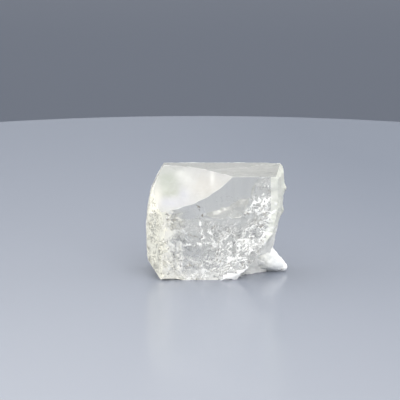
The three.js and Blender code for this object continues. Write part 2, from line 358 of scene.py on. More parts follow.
def kind_of(face):
    """Which skin a face of the block has."""
    middle = face.calc_center_median()
    if on_stump(middle):
        return CREAMY
    if on_chip(middle, face.normal):
        return CHIP
    if face.normal.y < -FRONTAL:
        if on_right_end(middle):
            return FROSTED
        if middle.x < WINDOW_LEFT or (middle - WINDOW_RIGHT).dot(WINDOW_SLANT) > 0:
            return HACKLY
    if flat_area[plane_of(face)] > LEAST_FLAT and face.normal.x < RIGHT_FACING:
        if face.normal.x < -LEFT_FACING:
            return CREAMY
        if face.normal.z > FACING:
            return BASAL
        return ETCHED if face.normal.y > FACING else CLEAR
    if in_hollow(middle, face.normal):
        return SATIN
    return FROSTED if on_right_end(middle) else HACKLY


def count_kinds():
    """How many faces each kind has."""
    return {name: sum(face[skin] == kind for face in loose.faces) for kind, name in enumerate(KINDS)}


flat_area = {}
for face in loose.faces:
    flat_area[plane_of(face)] = flat_area.get(plane_of(face), 0) + face.calc_area()
for face in loose.faces:
    face[skin] = kind_of(face)
    is_flat = flat_area[plane_of(face)] > LEAST_FLAT
    face[even] = is_flat and face[skin] in (CLEAR, ETCHED, BASAL, CHIP, CREAMY)
for corner in loose.verts:
    kinds = {face[skin] for face in corner.link_faces}
    corner[broken] = kinds <= {HACKLY, FROSTED}
    corner[hollow] = kinds == {SATIN}
print("flats, mm2:", sorted(round(area / MM**2, 1) for area in flat_area.values() if area > LEAST_FLAT))
print("triangles of each kind:", count_kinds())

# %% [markdown]
# ## Fine triangles where the relief goes
#
# The flats need no more triangles, and the breaks need many. Splitting only the long edges of the
# broken and the satin faces, again and again, puts the triangles where they are used. Dividing
# everything evenly would be simpler, but would spend half of them on flats.

# %% Divide the broken faces
LONGEST_EDGE = 0.24 * MM
ROUNDS = 4
for _ in range(ROUNDS):
    long_edges = [
        edge for edge in loose.edges
        if edge.calc_length() > LONGEST_EDGE
        and any(face[skin] in (HACKLY, FROSTED, SATIN) for face in edge.link_faces)
    ]
    bmesh.ops.subdivide_edges(loose, edges=long_edges, cuts=1)
    bmesh.ops.triangulate(loose, faces=[face for face in loose.faces if len(face.verts) > 3])
print("divided into", len(loose.faces), "faces")

# %% [markdown]
# ## Calm, crushed and milky places
#
# The front is not crackled everywhere alike. A few spots stayed calm, and there one looks straight
# in. Others are crushed white, and towards the left end and round the foot the crackle is so fine
# that it turns milky. Lists of spots say where, and each corner and each small face takes its
# numbers from them. Some noise makes the borders ragged, so they read as crackle and not as
# drawn lines. The hollow keeps its tint, with its painted highlights and painted shade, at each
# corner in the same way.

# %% Spots and tints
CALM_SPOTS = [  # X and Z on the front, and radius, in millimetres
    (-4.8, 11.9, 2.0),
    (-4.6, 8.6, 1.8),
    (-4.0, 5.4, 1.3),
    (-8.6, 8.4, 1.3),
    (7.6, 3.6, 1.6),
]
CRUSHED = [  # X and Z on the front, reach each way, and how crushed it is there
    (3.6, 4.0, 4.6, 3.4, 1.8),
    (7.9, 14.2, 2.4, 3.0, 0.72),
    (8.7, 17.4, 1.6, 2.0, 0.6),
    (8.3, 8.5, 2.6, 3.4, 1.1),
    (3.3, 11.0, 5.0, 4.0, 0.65),
    (-5.0, 1.6, 6.5, 1.9, 0.5),
    (-10.5, 6.7, 3.0, 8.0, 0.25),
]
MILKED = [  # the same for how milky it is
    (-6.9, 4.2, 0.7, 3.2, 1.2),
    (-12.6, 8.0, 4.4, 16.0, 1.15),
    (-5.0, 0.0, 7.0, 2.6, 0.75),
]
# besides the tints, the lighter spots here are painted highlights and the darker ones painted shade
HOLLOW_TINTS_AND_PAINTED_LIGHT = [  # the same as seen from the front, and the tint there
    (-9.3, 18.5, 3.0, 2.8, 1.0, (0.39, 0.415, 0.355)),
    (-8.4, 16.4, 2.2, 0.9, 0.8, (0.35, 0.37, 0.30)),
    (-9.5, 17.2, 0.8, 0.8, 0.6, (0.54, 0.56, 0.50)),
    (-2.0, 17.8, 3.2, 2.4, 1.0, (0.57, 0.55, 0.51)),
    (-8.4, 14.5, 2.8, 0.9, 0.9, (0.52, 0.52, 0.565)),
    (-6.0, 15.9, 1.0, 1.4, 0.8, (0.52, 0.52, 0.565)),
    (-6.6, 20.0, 1.1, 0.9, 0.9, (0.62, 0.63, 0.59)),
    (-5.5, 19.0, 1.1, 1.1, 1.0, (0.62, 0.62, 0.59)),
    (-0.9, 19.0, 0.4, 1.4, 1.0, (0.76, 0.75, 0.71)),
    (-11.0, 15.6, 0.8, 2.5, 0.8, (0.73, 0.71, 0.64)),
]
HOLLOW_TINT = (0.50, 0.50, 0.49)
print("spots:", len(CALM_SPOTS), "calm,", len(CRUSHED), "crushed,", len(MILKED), "milky")

# %% [markdown]
# ## What a spot does
#
# A spot is strongest in its middle and fades to nothing past its reach, like light from a small
# lamp. Where spots overlap the strongest counts, but the hollow's tints, painted highlights and
# painted shade are laid one over the other, because each is a reflection of its own.

# %% Rules for spots
SEEN_FROM = math.tan(CAMERA_RISE)  # a place further back is seen this much higher on the front
MILKY_STUMP = 4.0 * MM  # milky within about this distance of the stump


def falloff(distance, reach=1.0):
    """From 1 at no distance down to nearly 0 beyond the reach."""
    return math.exp(-((distance / reach) ** 2))


def calm_at(x, z):
    """How calm a place on the front is, from 0 to 1."""
    return max(falloff(math.hypot(x - spot_x, z - spot_z), reach) for spot_x, spot_z, reach in CALM_SPOTS)


def strength(spot, x, z):
    """How strongly a spot reaches a place on the front."""
    spot_x, spot_z, wide, tall, most = spot[:5]
    return most * falloff(math.hypot((x - spot_x) / wide, (z - spot_z) / tall))


def strongest(spots, x, z):
    """How crushed, or how milky, a place is where the spots overlap."""
    return max(strength(spot, x, z) for spot in spots)


def hollow_tint_and_light(x, y, z):
    """The hollow's tint at a place, with the spots of tint, painted highlight and painted shade laid over it.
    """
    tint = Vector(HOLLOW_TINT)
    height = z + (y - cad_low.y / MM) * SEEN_FROM
    for spot in HOLLOW_TINTS_AND_PAINTED_LIGHT:
        tint = tint.lerp(Vector(spot[5]), strength(spot, x, height))
    return (*tint, 1)


def near_stump(place):
    """1 on the break next to the stump, fading out away from it."""
    share, away = from_stump(place)
    return falloff(max(0, away - stump_radius(min(1, max(0, share)))), MILKY_STUMP)


print("calm in the middle of the first spot:", calm_at(*CALM_SPOTS[0][:2]))

# %% [markdown]
# ## How broken each corner is
#
# The break grows gentler next to the window, on the calm spots and high on the back, which the eye
# takes for one smooth change although each has its own cause. The corners on the stump's surface
# are drawn in towards its axis here, because a finer stump goes over them later.

# %% Number the corners
WINDOW_FOOT = 8 * MM  # the window's corners lie above this
WINDOW_SLACK = 0.01 * MM  # and this close to the plane of the front
WINDOW_FADE = 2.5 * MM  # the break is gentler this close to the window
WINDOW_BREAK = 0.06  # what is left of it at the window's edge
CALMING = 0.9  # how much of the break a calm spot takes away
BACK_FROM = 2.0  # millimetres: behind this, and above the next, the break is calmer
BACK_ABOVE = 7.0
BACK_BREAK = 0.4
LACE_TO = 1.0  # millimetres: behind this there is next to no lace
LACE_BEHIND = 0.1
LACE_OFF_BASE = 0.1  # millimetres from the base to the first lace
STUMP_DRAWN_IN = 0.88  # the share of their distance from the axis that the stump's corners keep

window = [v for v in loose.verts if v.co.y < cad_low.y + WINDOW_SLACK and v.co.z > WINDOW_FOOT]
window = [v for v in window if any(face[skin] == CLEAR for face in v.link_faces)]
window_tree = KDTree(len(window))
for number, corner in enumerate(window):
    window_tree.insert(corner.co, number)
window_tree.balance()
for corner in loose.verts:
    x, y, z = corner.co / MM
    calm = calm_at(x, z) if y < 0 else 0
    near = min(1, window_tree.find(corner.co)[2] / WINDOW_FADE)
    corner[broken] *= (1 - CALMING * calm) * (WINDOW_BREAK + (1 - WINDOW_BREAK) * near)
    if y > BACK_FROM and z > BACK_ABOVE:
        corner[broken] *= BACK_BREAK
    crushed = max(0, strongest(CRUSHED, x, z) - calm) * near
    corner[lace] = corner[broken] * crushed * (1 if y < LACE_TO else LACE_BEHIND)
    corner[lace] *= min(1, max(0, z - LACE_OFF_BASE))
    # each corner's tint holds the hollow's painted highlights and painted shade
    corner[tint_and_painted_light] = hollow_tint_and_light(x, y, z)
    if all(on_stump(face.calc_center_median()) for face in corner.link_faces):
        middle = STUMP_ROOT + STUMP_AXIS * min(1, from_stump(corner.co)[0])
        corner.co = middle + (corner.co - middle) * STUMP_DRAWN_IN
print("corners of the window:", len(window))

# %% [markdown]
# ## Which small faces are milky
#
# Milkiness belongs to whole facets, so it is a kind of face and not a number at the corners. The
# noise is on the scale of a facet. Once the kinds are settled, the sharp edges between them are
# noted for later, since wear and the painted edge highlight show only there, and the block is kept
# as a plain mesh.

# %% Sort the broken faces
MILKY_BACK_FROM = 3.0 * MM  # the top of the back break is milky behind and above these
MILKY_BACK_ABOVE = 8.5 * MM
MILKY_BACK = 0.6
RAGGED = 0.25  # how much noise of the next width moves the borders
RAGGED_WIDTH = 0.8 * MM
MILKY_FROM = 0.4  # as milky as this counts as milky, and as the next as creamy
CREAMY_FROM = 0.7
CREAM_BY_STUMP = 0.45  # the frosted end is cream where it is this near the stump
# edges picked here get white threads, for wear and as a painted highlight
WORN_ANGLE = math.radians(22)  # edges sharper than this are worn
WORN_ABOVE = 0.1 * MM
SOFT_LEFT = -9 * MM  # the front's left rim is soft up to the next height, and has no worn edge
SOFT_TOP = 13 * MM

for face in loose.faces:
    middle = face.calc_center_median()
    if face[skin] == HACKLY:
        milk = max(near_stump(middle), (middle.y < 0) * strongest(MILKED, middle.x / MM, middle.z / MM))
        if middle.y > MILKY_BACK_FROM and middle.z > MILKY_BACK_ABOVE:
            milk = MILKY_BACK
        milk += RAGGED * noise.fractal(middle / RAGGED_WIDTH, 1.0, 2.0, 3)
        face[skin] = CREAMY if milk > CREAMY_FROM else MILKY if milk > MILKY_FROM else HACKLY
    elif face[skin] == FROSTED and near_stump(middle) > CREAM_BY_STUMP:
        face[skin] = CREAMY
print("faces of each kind:", count_kinds())


def is_worn_or_highlit(edge):
    """True for a sharp edge of a smooth skin, away from the stump, the base and the soft left rim."""
    first = edge.verts[0].co
    on_soft_rim = first.x < SOFT_LEFT and first.y < 0 and first.z < SOFT_TOP
    return (
        edge.calc_face_angle(0) > WORN_ANGLE
        and any(face[skin] in (CLEAR, SATIN, ETCHED, CHIP, CREAMY) for face in edge.link_faces)
        and not any(on_stump(corner.co) for corner in edge.verts)
        and any(corner.co.z > WORN_ABOVE for corner in edge.verts)
        and not on_soft_rim
    )


worn = [edge for edge in loose.edges if is_worn_or_highlit(edge)]
numbers = {}
for edge in worn:
    for corner in edge.verts:
        numbers.setdefault(corner, len(numbers))
edge_lines = bpy.data.meshes.new("edge_lines")
edge_ends = [[numbers[corner] for corner in edge.verts] for edge in worn]
edge_lines.from_pydata([tuple(corner.co) for corner in numbers], edge_ends, [])
print("worn edges:", len(worn))
block = bpy.data.meshes.new("block")
loose.to_mesh(block)
loose.free()

# %% [markdown]
# ## Helpers for geometry trees
#
# A geometry tree reads numbers kept on the mesh, and ends by making its copies real and giving them
# their skin. It is run here on a plain object, and what comes out is a plain mesh, so nothing stays
# live on the pieces and every number in them can be measured.

# %% Geometry helpers
GEOMETRY = {"Geometry": "Geometry"}


def shape(tree, kind, inputs, **settings):
    """What a geometry node gives."""
    return put(tree, "GeometryNode" + kind, inputs, **settings).outputs[0]


def joined(tree, pieces):
    """Some geometries as one."""
    made = tree.nodes.new("GeometryNodeJoinGeometry")
    for piece in pieces:
        tree.links.new(piece, made.inputs[0])
    return made.outputs[0]


def kept(tree, name, kind="FLOAT"):
    """A number kept at each corner or face of the mesh."""
    return put(tree, "GeometryNodeInputNamedAttribute", {"Name": name}, data_type=kind).outputs["Attribute"]


def where_and_out(tree):
    """The place on the mesh, and the way it faces there."""
    place = tree.nodes.new("GeometryNodeInputPosition")
    outward = tree.nodes.new("GeometryNodeInputNormal")
    return place.outputs[0], outward.outputs[0]


def compared(tree, operation, first, second):
    """The result of comparing two whole numbers."""
    made = put(tree, "FunctionNodeCompare", data_type="INT", operation=operation)
    feed(tree, made.inputs[2], first)
    feed(tree, made.inputs[3], second)
    return made.outputs[0]


def chance(tree, seed, low=0.0, high=1.0):
    """A random number for each point."""
    made = put(tree, "FunctionNodeRandomValue", {"Seed": seed}, data_type="FLOAT")
    made.inputs[2].default_value = low
    made.inputs[3].default_value = high
    return made.outputs[1]


def dressed(tree, geometry, finish):
    """The geometry with its copies made real, in its skin."""
    real = shape(tree, "RealizeInstances", {"Geometry": geometry})
    return shape(tree, "SetMaterial", {"Geometry": real, "Material": finish})


def new_object(name, mesh):
    """An object for a mesh, linked to the scene."""
    made = bpy.data.objects.new(name, mesh)
    bpy.context.scene.collection.objects.link(made)
    return made


def grow(tree, values, start=None):
    """Runs a geometry tree with named values on a mesh, and returns the result as a plain mesh."""
    bed = new_object("bed", start or bpy.data.meshes.new("bed"))
    modifier = bed.modifiers.new(tree.name, "NODES")
    modifier.node_group = tree
    for socket in tree.interface.items_tree:
        if socket.in_out == "INPUT" and socket.name in values:
            modifier[socket.identifier] = values[socket.name]
    graph = bpy.context.evaluated_depsgraph_get()
    result = bpy.data.meshes.new_from_object(bed.evaluated_get(graph), depsgraph=graph)
    bpy.data.objects.remove(bed)
    return result


def add_piece(name, mesh):
    """A visible piece that rides on the crystal."""
    made = new_object(name, mesh)
    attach(made, "root")
    print(name + ":", sum(len(face.vertices) - 2 for face in mesh.polygons), "triangles")
    return made


# %% [markdown]
# ## The breaks' relief
#
# Real hackle is uneven. Calm patches lie between rough ones, and strokes run through both. The
# geometry tree below gives every broken corner a height from facets and strokes, each turned up
# and down by a cloud a few millimetres wide, and gives the hollow its slow swells. A sculpted
# mesh could do this too, but a tree keeps the sizes as inputs that can be tried in a moment.

# %% Relief tree
def relief_tree():
    """Raises the broken corners of a block, and dresses each kind of face in its own skin."""
    inputs = {
        **GEOMETRY, "Facet width": 0.95 * MM, "Facet lean": 0.12, "Stroke width": 0.9 * MM,
        "Stroke height": 0.25 * MM, "Patch width": 3.2 * MM, "Swell width": 4.5 * MM,
        "Swell height": 0.7 * MM, **dict.fromkeys(KINDS, "Material"),
    }
    tree, given, result = open_group("Crystal relief", "GeometryNodeTree", inputs, GEOMETRY)
    place, outward = where_and_out(tree)
    rough = patches(tree, place, given["Patch width"], 0.4, 0.6, 0.15, 1.0)
    facets = facet_height(tree, place, given["Facet width"], given["Facet lean"])
    strokes = cloud(tree, run_outwards(tree, place), given["Stroke width"], 1.0)
    strokes = times(tree, sums(tree, "SUBTRACT", strokes, 0.5), given["Stroke height"])
    hackle = times(tree, sums(tree, "ADD", times(tree, facets, rough), strokes), kept(tree, "broken"))
    swell = sums(tree, "SUBTRACT", cloud(tree, place, given["Swell width"], 0.0), 0.5)
    swell = times(tree, swell, given["Swell height"], kept(tree, "hollow"))
    shift = vectors(tree, "SCALE", outward, sums(tree, "ADD", hackle, swell))
    moved = shape(tree, "SetPosition", {"Geometry": given["Geometry"], "Offset": shift})
    last = shape(tree, "RealizeInstances", {"Geometry": moved})
    for number, name in enumerate(KINDS):
        chosen = compared(tree, "EQUAL", kept(tree, "skin", "INT"), number)
        last = shape(tree, "SetMaterial", {"Geometry": last, "Selection": chosen, "Material": given[name]})
    feed(tree, result[0], last)
    return tree


tree_of_relief = relief_tree()
print("relief tree:", len(tree_of_relief.nodes), "nodes")

# %% [markdown]
# ## Material helpers
#
# Topaz bends light a little more than window glass: its index of refraction is 1.62. One function
# opens every skin from a roughness and a clearness. The clearness is the share of the light that
# goes straight in. The rest comes back in the skin's own colour, which is how stone full of
# cracks too fine to see turns white.

# %% Material helpers
TOPAZ_IOR = 1.62


def new_material(name, roughness, clearness=0.0):
    """A material with its tree, its Principled shader and the place on the piece, in metres."""
    made = bpy.data.materials.new(name)
    made.use_nodes = True
    tree = made.node_tree
    tree.nodes.clear()
    shader = tree.nodes.new("ShaderNodeBsdfPrincipled")
    put(tree, "ShaderNodeOutputMaterial", {"Surface": shader.outputs[0]})
    shader.inputs["Roughness"].default_value = roughness
    if clearness:
        shader.inputs["IOR"].default_value = TOPAZ_IOR
        shader.inputs["Transmission Weight"].default_value = clearness
    return made, tree, shader, tree.nodes.new("ShaderNodeTexCoord").outputs["Object"]


def attribute(tree, name, output="Fac"):
    """A number, or a colour, kept at each corner."""
    return put(tree, "ShaderNodeAttribute", attribute_name=name).outputs[output]


def mixed(tree, share, low, high):
    """A colour between two, at a share of the way."""
    made = put(tree, "ShaderNodeMix", {"Factor": share}, data_type="RGBA")
    feed(tree, made.inputs[6], low)
    feed(tree, made.inputs[7], high)
    return made.outputs[2]


def use(tree, group, values):
    """The outputs of a group in a material, with the material's own values."""
    return put(tree, "ShaderNodeGroup", values, node_tree=group).outputs


def paint(tree, shader, colour, height=None):
    """Gives a skin its colour, and bump of a height in metres."""
    feed(tree, shader.inputs["Base Color"], colour)
    if height is not None:
        made = put(tree, "ShaderNodeBump", {"Strength": 1.0, "Distance": 1.0, "Height": height})
        feed(tree, shader.inputs["Normal"], made.outputs[0])


# %% [markdown]
# ## Mottle
#
# No natural surface has one even colour. Patches of one colour in another, from soft noise, are
# the plainest true thing to say about most of them, and the same noise serves as fine grain for
# the bump. It is a group, because nearly every finish uses it with its own widths and colours.
# Many skins are no more than this, so one function makes a whole skin of it.

# %% Mottle group
def mottle_group():
    """Soft patches of a second colour in a first, and the noise that makes them."""
    inputs = {
        "Place": "Vector", "Patch width": 1.0 * MM, "Finer layers": 2.0, "From": 0.4, "To": 0.6, "Most": 1.0,
        "First": (0.9, 0.9, 0.9, 1), "Second": (0.8, 0.8, 0.8, 1),
    }
    tree, given, result = open_group("Mottle", "ShaderNodeTree", inputs, {"Color": "Color", "Noise": "Float"})
    soft = cloud(tree, given["Place"], given["Patch width"], given["Finer layers"])
    share = fade(tree, soft, given["From"], given["To"], 0.0, given["Most"])
    feed(tree, result["Color"], mixed(tree, share, given["First"], given["Second"]))
    feed(tree, result["Noise"], soft)
    return tree


mottles = mottle_group()
print("mottle group:", len(mottles.nodes), "nodes")


def mottle(tree, place, values):
    """The mottle's outputs at a place."""
    return use(tree, mottles, {"Place": place, **values})


def grain(tree, place, width, height):
    """The height of fine even grain, for bump."""
    return times(tree, mottle(tree, place, {"Patch width": width, "Finer layers": 3.0})["Noise"], height)


def plain_skin(name, roughness, clearness, values, grain_size=None, stretch=None):
    """A mottled skin, with grain of a width and height, and drawn out if it is given a stretch."""
    made, tree, shader, place = new_material(name, roughness, clearness)
    if stretch:
        place = vectors(tree, "MULTIPLY", place, stretch)
    height = grain(tree, place, *grain_size) if grain_size else None
    paint(tree, shader, mottle(tree, place, values)["Color"], height)
    return made


# %% [markdown]
# ## Cleavages and grown faces
#
# Topaz cleaves across its length like the pages of a book, and the split is polished by nature.
# A grown prism face is duller: growth and etching left faint lines along the crystal, which here is
# upright. Both are flat in the mesh, and their faint clouds and lines are given as colour and bump.

# %% Flat skins
CLEAR_TINT = (0.985, 0.985, 0.945, 1)
CLOUDED_TINT = (0.945, 0.945, 0.915, 1)
UPRIGHT_LINES = (1, 1, 0.06)  # squeezes places in height, which draws a texture out upright

polished = plain_skin(
    "polished_topaz", 0.12, 0.84,
    {"Patch width": 2.5 * MM, "First": CLEAR_TINT, "Second": CLOUDED_TINT}, (0.6 * MM, 0.004 * MM))
basal = plain_skin(
    "basal_topaz", 0.18, 0.78,
    {"Patch width": 1.8 * MM, "Finer layers": 4.0, "First": CLEAR_TINT, "Second": CLOUDED_TINT},
    (0.5 * MM, 0.006 * MM))
etched = plain_skin(
    "etched_topaz", 0.4, 0.7,
    {"Patch width": 0.6 * MM, "Finer layers": 3.0,
     "First": (0.95, 0.95, 0.93, 1), "Second": (0.89, 0.89, 0.87, 1)}, (0.4 * MM, 0.02 * MM), UPRIGHT_LINES)
print("flat skins:", polished.name, basal.name, etched.name)

# %% [markdown]
# ## The hollow, the chip and the frosted end
#
# The shell-shaped hollow broke in one sweep and is satin. One sees the stone behind it through its
# skin, greenish in the upper left and violet-grey low down, so each corner of it keeps the tint
# from its spots, and the material only clouds it a little. The same spots also paint the hollow's
# highlights, a bright band and a bright upright line, and its darker painted shade. The chip at
# the foot is fresh, and its powder-white is partly a painted reflection of light thrown back inside
# the stone. The right end is a frosted break, pale green.

# %% Satin skins
satin, tree, shader, place = new_material("satin_topaz", 0.42, 0.35)
# the tint at each corner holds the hollow's painted highlights and painted shade
tone = mottle(tree, place, {"Patch width": 1.4 * MM, "Finer layers": 4.0, "To": 0.7, "Most": 0.25,
                            "First": attribute(tree, "tint", "Color"), "Second": (0.62, 0.62, 0.61, 1)})
paint(tree, shader, tone["Color"])
# the chip's near-opaque white is partly a painted reflection of light thrown back inside the stone
chip_painted_bright = plain_skin(
    "chip_topaz_painted_bright", 0.3, 0.1,
    {"Patch width": 0.5 * MM, "Finer layers": 3.0, "From": 0.5, "To": 0.75,
     "First": (0.98, 0.98, 0.97, 1), "Second": (0.80, 0.80, 0.79, 1)}, (0.3 * MM, 0.01 * MM))
frosted = plain_skin(
    "frosted_topaz", 0.35, 0.35,
    {"Patch width": 1.6 * MM, "Finer layers": 4.0, "To": 0.65,
     "First": (0.90, 0.915, 0.84, 1), "Second": (0.78, 0.795, 0.72, 1)}, (0.4 * MM, 0.03 * MM))
print("satin skins:", satin.name, chip_painted_bright.name, frosted.name)

# %% [markdown]
# ## The stone's own tint
#
# Broken stone scatters light, and what comes back is nearly white: neutral over most of the
# crystal, whiter where it is crushed, and cream towards the left end. Soft clouds keep the change
# from drawing a line. It is a group, because three skins share it.

# %% Stone group
CREAM_FROM = -4 * MM
CREAM_TO = -10 * MM
CREAM_BORDER = 12 * MM  # how far the clouds move the border


def stone_group():
    """The stone's tint: cream towards the left end, whiter where it is crushed."""
    inputs = {"Place": "Vector", "Crushed": 0.0, "Sound": (0.90, 0.91, 0.91, 1),
              "White": (0.97, 0.975, 0.965, 1), "Cream": (0.97, 0.95, 0.86, 1)}
    tree, given, result = open_group("Stone tint", "ShaderNodeTree", inputs, {"Color": "Color"})
    neutral = mixed(tree, given["Crushed"], given["Sound"], given["White"])
    soft = sums(tree, "SUBTRACT", cloud(tree, given["Place"], 4 * MM), 0.5)
    along = sums(tree, "ADD", part(tree, given["Place"], "X"), times(tree, soft, CREAM_BORDER))
    left = fade(tree, along, CREAM_FROM, CREAM_TO)
    feed(tree, result["Color"], mixed(tree, left, neutral, given["Cream"]))
    return tree


stone = stone_group()
print("stone group:", len(stone.nodes), "nodes")

# %% [markdown]
# ## Threads
#
# The crackle of a broken face is a net of fine white threads round small clear cells. A Voronoi
# texture's distance to the nearest border draws such a net, and reading it at a wandering place
# makes the threads wander too. Two sizes of net and a cloud that breaks them up are enough. Small
# dark pits lie between the threads.

# %% Thread group
NET_SIZES = (1.0, 2.3)  # how many times finer each net is than the cell width


def thread_group():
    """A net of threads drawn out the way the break ran, and pits between them, from 0 to 1."""
    inputs = {"Place": "Vector", "Cell width": 0.9 * MM, "Thread": 0.08, "Amount": 0.5,
              "Pit width": 0.32 * MM}
    outputs = {"Threads": "Float", "Pits": "Float"}
    tree, given, result = open_group("Threads", "ShaderNodeTree", inputs, outputs)
    fan = run_outwards(tree, wandering(tree, given["Place"], 0.7 * MM, 0.9 * MM, 2.0))
    nets = []
    for finer in NET_SIZES:
        net = put(tree, "ShaderNodeTexVoronoi", {"Vector": fan}, feature="DISTANCE_TO_EDGE")
        feed(tree, net.inputs["Scale"], sums(tree, "DIVIDE", finer, given["Cell width"]))
        line = fade(tree, net.outputs["Distance"], 0.0, given["Thread"], 1.0, 0.0)
        there = fade(tree, cloud(tree, given["Place"], 1.7 * MM / finer, 1.0), 0.42, 0.6)
        nets.append(times(tree, line, there))
    both = sums(tree, "MAXIMUM", *nets)
    feed(tree, result["Threads"], sums(tree, "MULTIPLY", both, given["Amount"], clamp=True))
    dark = fade(tree, cloud(tree, fan, given["Pit width"], 1.0), 0.56, 0.68)
    feed(tree, result["Pits"], times(tree, dark, sums(tree, "SUBTRACT", 1.0, both)))
    return tree


threads = thread_group()
print("thread group:", len(threads.nodes), "nodes")

# %% [markdown]
# ## Fine relief
#
# The mesh carries the large facets of a break. The finer ones and the fine strokes are bump, from
# the same two rules, and patches of calm keep them from being even. Again it is a group, because
# the broken and the creamy skins use it at their own sizes.

# %% Relief group
def relief_group():
    """The height of a break's finer facets and strokes, in metres."""
    inputs = {"Place": "Vector", "Facet width": 0.2 * MM, "Facet lean": 0.6, "Patch width": 1.6 * MM,
              "Stroke width": 0.35 * MM, "Stroke height": 0.06 * MM}
    tree, given, result = open_group("Fine relief", "ShaderNodeTree", inputs, {"Height": "Float"})
    place = given["Place"]
    rough = patches(tree, place, given["Patch width"], 0.42, 0.62)
    facets = facet_height(tree, place, given["Facet width"], given["Facet lean"])
    strokes = cloud(tree, run_outwards(tree, place), given["Stroke width"], 1.0)
    strokes = times(tree, strokes, given["Stroke height"])
    feed(tree, result["Height"], sums(tree, "ADD", times(tree, facets, rough), strokes))
    return tree


fine_relief = relief_group()
print("fine relief group:", len(fine_relief.nodes), "nodes")

# %% [markdown]
# ## Broken skins
#
# Hackly stone is clear facets with white threads and grey pits between them. Milky stone is the
# same break crushed so finely that little light passes, and its pits are paler. How broken and
# how crushed each place is comes from the numbers kept at the corners, so the skin and the relief
# of the mesh agree.

# %% Broken skins
THREAD_WHITE = (1.0, 1.0, 0.99, 1)
THREAD_HEIGHT = 0.02 * MM


def broken_skin(name, clearness, pit_colour, thread_amount, tint):
    """A hackly skin: polished facets with threads and pits between them."""
    made, tree, shader, place = new_material(name, 0.08, clearness)
    amount = attribute(tree, "broken")
    net = use(tree, threads, {"Place": place, "Amount": times(tree, amount, thread_amount)})
    tone = use(tree, stone, {"Place": place, "Crushed": attribute(tree, "lace"), **tint})["Color"]
    tone = mixed(tree, times(tree, net["Pits"], amount), tone, pit_colour)
    relief = use(tree, fine_relief, {"Place": place})["Height"]
    height = sums(tree, "ADD", relief, times(tree, net["Threads"], THREAD_HEIGHT))
    paint(tree, shader, mixed(tree, net["Threads"], tone, THREAD_WHITE), times(tree, height, amount))
    return made


hackly = broken_skin("hackly_topaz", 0.75, (0.3, 0.3, 0.3, 1), 1.0, {})
milky = broken_skin("milky_topaz", 0.4, (0.7, 0.7, 0.68, 1), 0.9, {"Sound": (0.9, 0.9, 0.87, 1)})
print("broken skins:", hackly.name, milky.name)

# %% [markdown]
# ## The creamy skin
#
# The left end is worn, cream, and streaked upright where the prism faces grew. Brown-grey dots sit
# in it in patches. Streaks and dots belong to the left end only: next to the stump the same skin
# is nearly white.

# %% Creamy skin
STREAKED = (4 * MM, -4 * MM, 0.1, 1.0)  # from and to these X, and these shares, streaks and dots come in
FADED_END = (-12 * MM, -9.5 * MM, 0.35, 0.65)  # the streaks are weaker at the very end
UPRIGHT_STREAKS = (1, 1, 0.25)

creamy, tree, shader, place = new_material("creamy_topaz", 0.3, 0.2)
along = part(tree, place, "X")
leftness = fade(tree, along, *STREAKED)
inwards = fade(tree, along, *FADED_END)
tone = use(tree, stone, {"Place": place, "Sound": (0.95, 0.95, 0.93, 1), "Cream": (0.94, 0.92, 0.79, 1)})
streaks = mottle(tree, vectors(tree, "MULTIPLY", place, UPRIGHT_STREAKS),
                 {"Patch width": 1.1 * MM, "From": 0.38, "To": 0.62, "Most": times(tree, leftness, inwards),
                  "First": tone["Color"], "Second": (0.66, 0.66, 0.60, 1)})
dotted = times(tree, patches(tree, place, 2.2 * MM, 0.40, 0.55), leftness)
dots = mottle(tree, place, {"Patch width": 0.24 * MM, "Finer layers": 1.0, "From": 0.58, "To": 0.68,
                            "Most": dotted, "First": streaks["Color"], "Second": (0.36, 0.34, 0.29, 1)})
height = use(tree, fine_relief, {"Place": place, "Facet width": 0.3 * MM, "Facet lean": leftness,
                                 "Stroke height": 0.03 * MM})["Height"]
paint(tree, shader, dots["Color"], height)
print("creamy skin:", creamy.name)

# %% [markdown]
# ## The dressed body
#
# The relief tree now raises the block's breaks and gives each kind of face its skin. Edges sharper
# than a broken facet's lean are marked as sharp, and the true flats are shaded flat, because one
# sliver at a border would otherwise bend the light over a whole cleavage.

# %% Make the body
SHARP_ANGLE = math.radians(18)

for finish in (polished, satin, hackly, milky, etched, frosted, chip_painted_bright, creamy, basal):
    block.materials.append(finish)
skins = dict(zip(KINDS, (hackly, milky, polished, satin, etched, frosted, chip_painted_bright, creamy, basal)))
mesh = grow(tree_of_relief, skins, block)
mesh.set_sharp_from_angle(angle=SHARP_ANGLE)
mesh.polygons.foreach_set("use_smooth", [not item.value for item in mesh.attributes["even"].data])
body = new_object("topaz_body", mesh)
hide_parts("topaz_crystal")
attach(body, "root")
print("body:", len(mesh.polygons), "faces", [finish.name for finish in mesh.materials])

# %% [markdown]
# ## The white stump
#
# A blunt stump of milky topaz grew out through the lower right end. Its root can be seen through
# the clear stone. It is a cone that swells a little here and there, so rings of corners along its
# axis are enough: their radius follows one curve, and soft noise makes the lumps. The clear
# body was drawn in under it, so only the white shows.

# %% White stump
STUMP_RINGS = 90
STUMP_SIDES = 120
STUMP_CONE = 0.75  # this share of the rings goes to the cone, and the rest to its round tip
STUMP_LUMP = 0.2 * MM
STUMP_LUMP_WIDTH = 1.5 * MM
STUMP_SKIN = 0.06 * MM  # it stands this far outside the body's own surface
WHITER = (7 * MM, 12 * MM)  # it grows whiter outwards between these X


def stump_ring(share):
    """The centre and the radius of the stump's ring at a share of the rings."""
    if share < STUMP_CONE:
        along = share / STUMP_CONE
        return STUMP_ROOT + STUMP_AXIS * along, stump_radius(along)
    turn = math.pi / 2 * (share - STUMP_CONE) / (1 - STUMP_CONE)
    tip_radius = stump_radius(1)
    return STUMP_TIP + STUMP_AXIS.normalized() * tip_radius * math.sin(turn), tip_radius * math.cos(turn)


